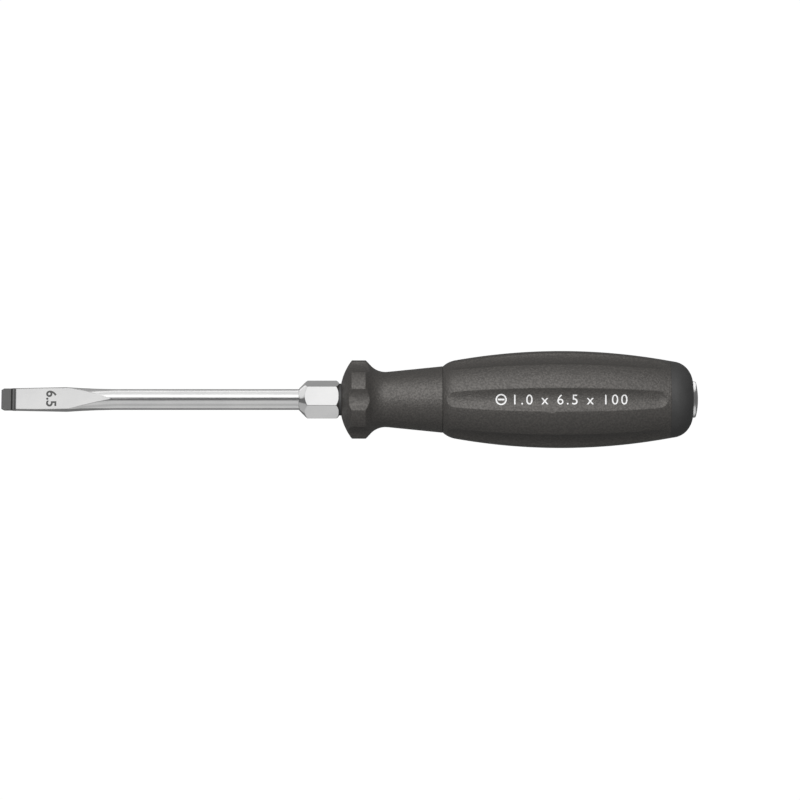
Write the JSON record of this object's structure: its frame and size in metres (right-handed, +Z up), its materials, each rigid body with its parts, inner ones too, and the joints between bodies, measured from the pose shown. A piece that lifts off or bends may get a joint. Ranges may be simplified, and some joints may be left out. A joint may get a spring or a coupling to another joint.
{
  "type": "slotted screwdriver",
  "caption": "Slotted bench screwdriver with a through hexagonal blade, a wrench bolster, a fluted soft grip with an anti-roll guard and a steel striking cap.",
  "frame": {"origin": "centre of the tip's end face, on the tool's long axis", "axes": "+X runs along the tool from the tip to the striking cap, +Z is up when the handle lies on two of its ridges with a flute facing up, +Y completes the right-handed frame"},
  "size_m": [0.2067, 0.0288, 0.028],
  "materials": {
    "blade_chrome": "satin chrome plate with a dark ground tip",
    "bolster_chrome": "satin chrome plate",
    "core_plastic": "moulded hard plastic, satin",
    "collar_elastomer": "spark-eroded matte grain",
    "grip_elastomer": "spark-eroded matte grain",
    "end_cap_plastic": "smooth satin",
    "striking_steel": "satin, turned",
    "white_print": "pad-printed ink"
  },
  "bodies": {
    "root": {"blade": "blade_chrome", "hex_bolster": "bolster_chrome", "handle_core": "core_plastic", "guard_collar": "collar_elastomer", "grip_sleeve": "grip_elastomer", "end_cap": "end_cap_plastic", "striking_cap": "striking_steel"}
  },
  "joints": []
}
